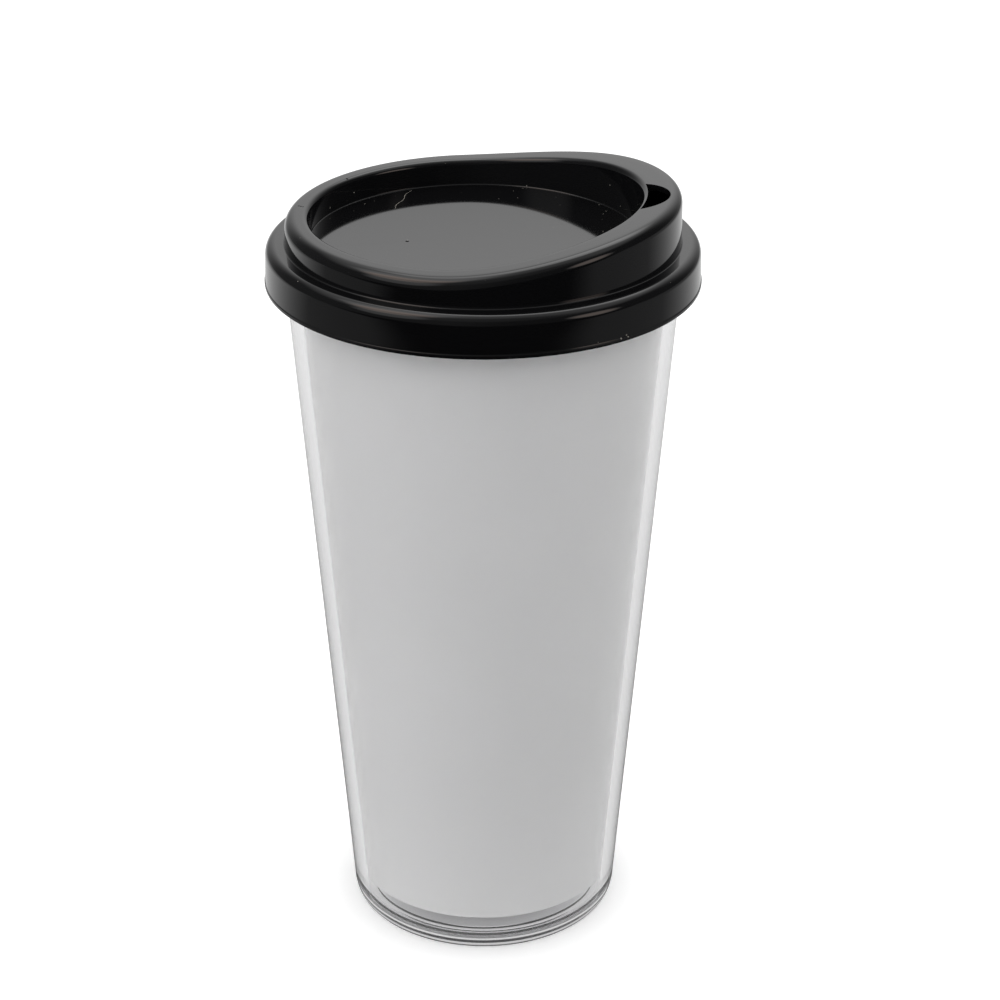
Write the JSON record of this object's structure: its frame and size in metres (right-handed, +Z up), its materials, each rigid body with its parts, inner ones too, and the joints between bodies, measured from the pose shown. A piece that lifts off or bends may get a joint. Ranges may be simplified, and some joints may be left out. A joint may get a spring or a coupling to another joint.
{
  "type": "double-walled plastic tumbler with lift-off lid",
  "caption": "Tapered double-walled clear plastic tumbler with a white card sleeve inside, white inner cup and a black press-on lid with a raised drinking rim.",
  "frame": {"origin": "centre of the foot, on the surface that the cup stands on", "axes": "+Z up along the cup's axis, +X from the axis to the drink hole at the lid's high side"},
  "size_m": [0.094, 0.094, 0.174],
  "materials": {
    "clear_base": "clear, polished",
    "clear_shell": "clear, polished",
    "white_card": "smooth matt white card",
    "white_liner": "smooth white plastic",
    "black_lid": "glossy black, lightly dusty"
  },
  "bodies": {
    "cup": {"base_plug": "clear_base", "outer_shell": "clear_shell", "card_insert": "white_card", "inner_cup": "white_liner"},
    "lid": {"lid": "black_lid"}
  },
  "joints": [
    {"name": "lid_lift", "type": "slide", "parent": "cup", "child": "lid", "axis": [0, 0, 1], "range_m": [0, 0.05]}
  ]
}
